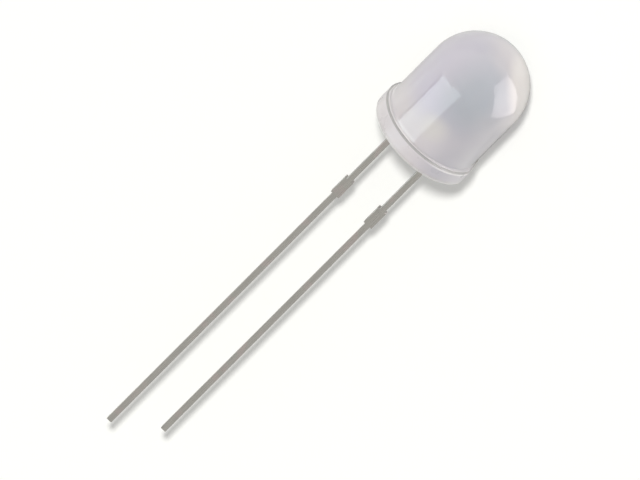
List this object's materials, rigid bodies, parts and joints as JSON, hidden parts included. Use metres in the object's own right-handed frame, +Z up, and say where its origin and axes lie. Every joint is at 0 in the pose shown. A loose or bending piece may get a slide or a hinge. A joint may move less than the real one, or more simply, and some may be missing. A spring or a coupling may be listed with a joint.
{
  "type": "through hole led",
  "caption": "Round through hole LED: milky domed epoxy lens with a flange, over long square anode and cathode leads for soldering into a board.",
  "frame": {"origin": "middle of the seating face, on the lens axis, where the leads leave the epoxy", "axes": "+X along the optical axis towards the dome; +Z up, with the LED lying on its flange; the anode lead is on the +Y side and the cathode lead, with the flange's flat, on the -Y side"},
  "size_m": [0.0454, 0.0084, 0.0086],
  "materials": {
    "milky_epoxy": "gloss",
    "plated_steel": "satin",
    "chip": "satin",
    "silver_adhesive": "matte",
    "gold": "polished"
  },
  "bodies": {
    "root": {"lens_body": "milky_epoxy", "cathode_lead": "plated_steel", "anode_lead": "plated_steel", "led_die": "chip", "die_attach": "silver_adhesive", "bond_wire": "gold"}
  },
  "joints": []
}
